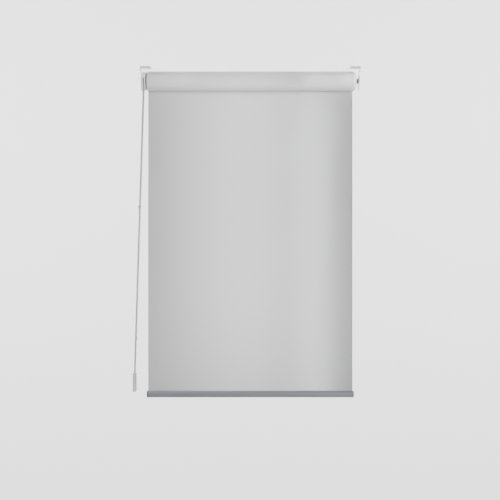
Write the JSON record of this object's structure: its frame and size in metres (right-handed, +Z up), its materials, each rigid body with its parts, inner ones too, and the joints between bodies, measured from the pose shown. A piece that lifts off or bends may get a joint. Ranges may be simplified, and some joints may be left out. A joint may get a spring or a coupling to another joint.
{
  "type": "roller blind",
  "caption": "Top-fixed roller blind with plain cloth on a tube, a bead-chain control unit, a sprung idle end, a metal bottom bar and a wall-fixed chain tensioner.",
  "frame": {"origin": "on the ceiling plane that the bracket feet are screwed to, straight above the roller's axis, at mid width", "axes": "+Z up, +X along the roller away from the control chain, -Y towards the room; the cloth hangs behind the roller, at +Y"},
  "size_m": [0.5195, 0.0487, 0.7575],
  "materials": {
    "bracket_steel": "white powder coat, satin, fine orange peel",
    "white_plastic": "moulded, satin",
    "inner_plastic": "moulded glass-filled nylon, matte",
    "tube_aluminium": "mill finish",
    "bar_aluminium": "satin anodised, drawn lengthwise",
    "spring_steel": "bright drawn wire and turned pins",
    "blind_cloth": "fine plain weave polyester, coated at the back, matte",
    "chain_plastic": "moulded beads, semi-gloss",
    "cap_plastic": "moulded, satin"
  },
  "bodies": {
    "frame": {"control_bracket": "bracket_steel", "idle_bracket": "bracket_steel", "idle_bush": "inner_plastic", "control_housing": "white_plastic", "control_spindle": "inner_plastic", "spindle_rivet": "spring_steel", "spindle_clip": "spring_steel", "fabric_drop": "blind_cloth", "bead_chain": "chain_plastic", "tensioner_base": "white_plastic", "tensioner_cover": "white_plastic", "tensioner_axle": "spring_steel"},
    "roller": {"chain_wheel": "inner_plastic", "brake_spring_outer": "spring_steel", "brake_spring_inner": "spring_steel", "drive_crown": "inner_plastic", "roller_tube": "tube_aluminium", "tube_spline": "inner_plastic", "fabric_roll": "blind_cloth", "idle_plug": "white_plastic", "spring_seat": "spring_steel", "pin_spring": "spring_steel"},
    "idle_pin": {"idle_pin": "spring_steel"},
    "bottom_bar": {"bottom_bar": "bar_aluminium", "bar_spline": "inner_plastic", "bar_cap_left": "cap_plastic", "bar_cap_right": "cap_plastic"},
    "chain_stop": {"chain_stop": "chain_plastic"},
    "chain_connector": {"chain_connector": "chain_plastic"},
    "tensioner_pulley": {"tensioner_pulley": "inner_plastic"}
  },
  "joints": [
    {"name": "roller_spin", "type": "hinge", "parent": "frame", "child": "roller", "pos_m": [0, 0, -0.032], "axis": [1, 0, 0], "range_deg": [0, 1800]},
    {"name": "bottom_bar_lift", "type": "slide", "parent": "frame", "child": "bottom_bar", "axis": [0, 0, 1], "range_m": [0, 0.6788], "deforming": ["fabric_drop"]},
    {"name": "chain_stop_travel", "type": "slide", "parent": "frame", "child": "chain_stop", "axis": [-0.0312, 0.0055, -0.9995], "range_m": [0, 0.3602]},
    {"name": "chain_connector_travel", "type": "slide", "parent": "frame", "child": "chain_connector", "axis": [0.0312, 0.0055, 0.9995], "range_m": [0, 0.3602]},
    {"name": "tensioner_pulley_spin", "type": "hinge", "parent": "frame", "child": "tensioner_pulley", "pos_m": [-0.2643, 0, -0.731], "axis": [1, 0, 0], "range_deg": [0, 2710]},
    {"name": "idle_pin_push", "type": "slide", "parent": "roller", "child": "idle_pin", "axis": [-1, 0, 0], "range_m": [0, 0.007], "stiffness_N_per_m": 300, "springref_m": -0.006, "deforming": ["pin_spring"]}
  ],
  "couplings": [
    {"joint": "bottom_bar_lift", "follows": "roller_spin", "m_per_rad": 0.0216},
    {"joint": "chain_stop_travel", "follows": "roller_spin", "m_per_rad": 0.011459},
    {"joint": "chain_connector_travel", "follows": "roller_spin", "m_per_rad": 0.011459},
    {"joint": "tensioner_pulley_spin", "follows": "roller_spin", "ratio": 1.5}
  ]
}
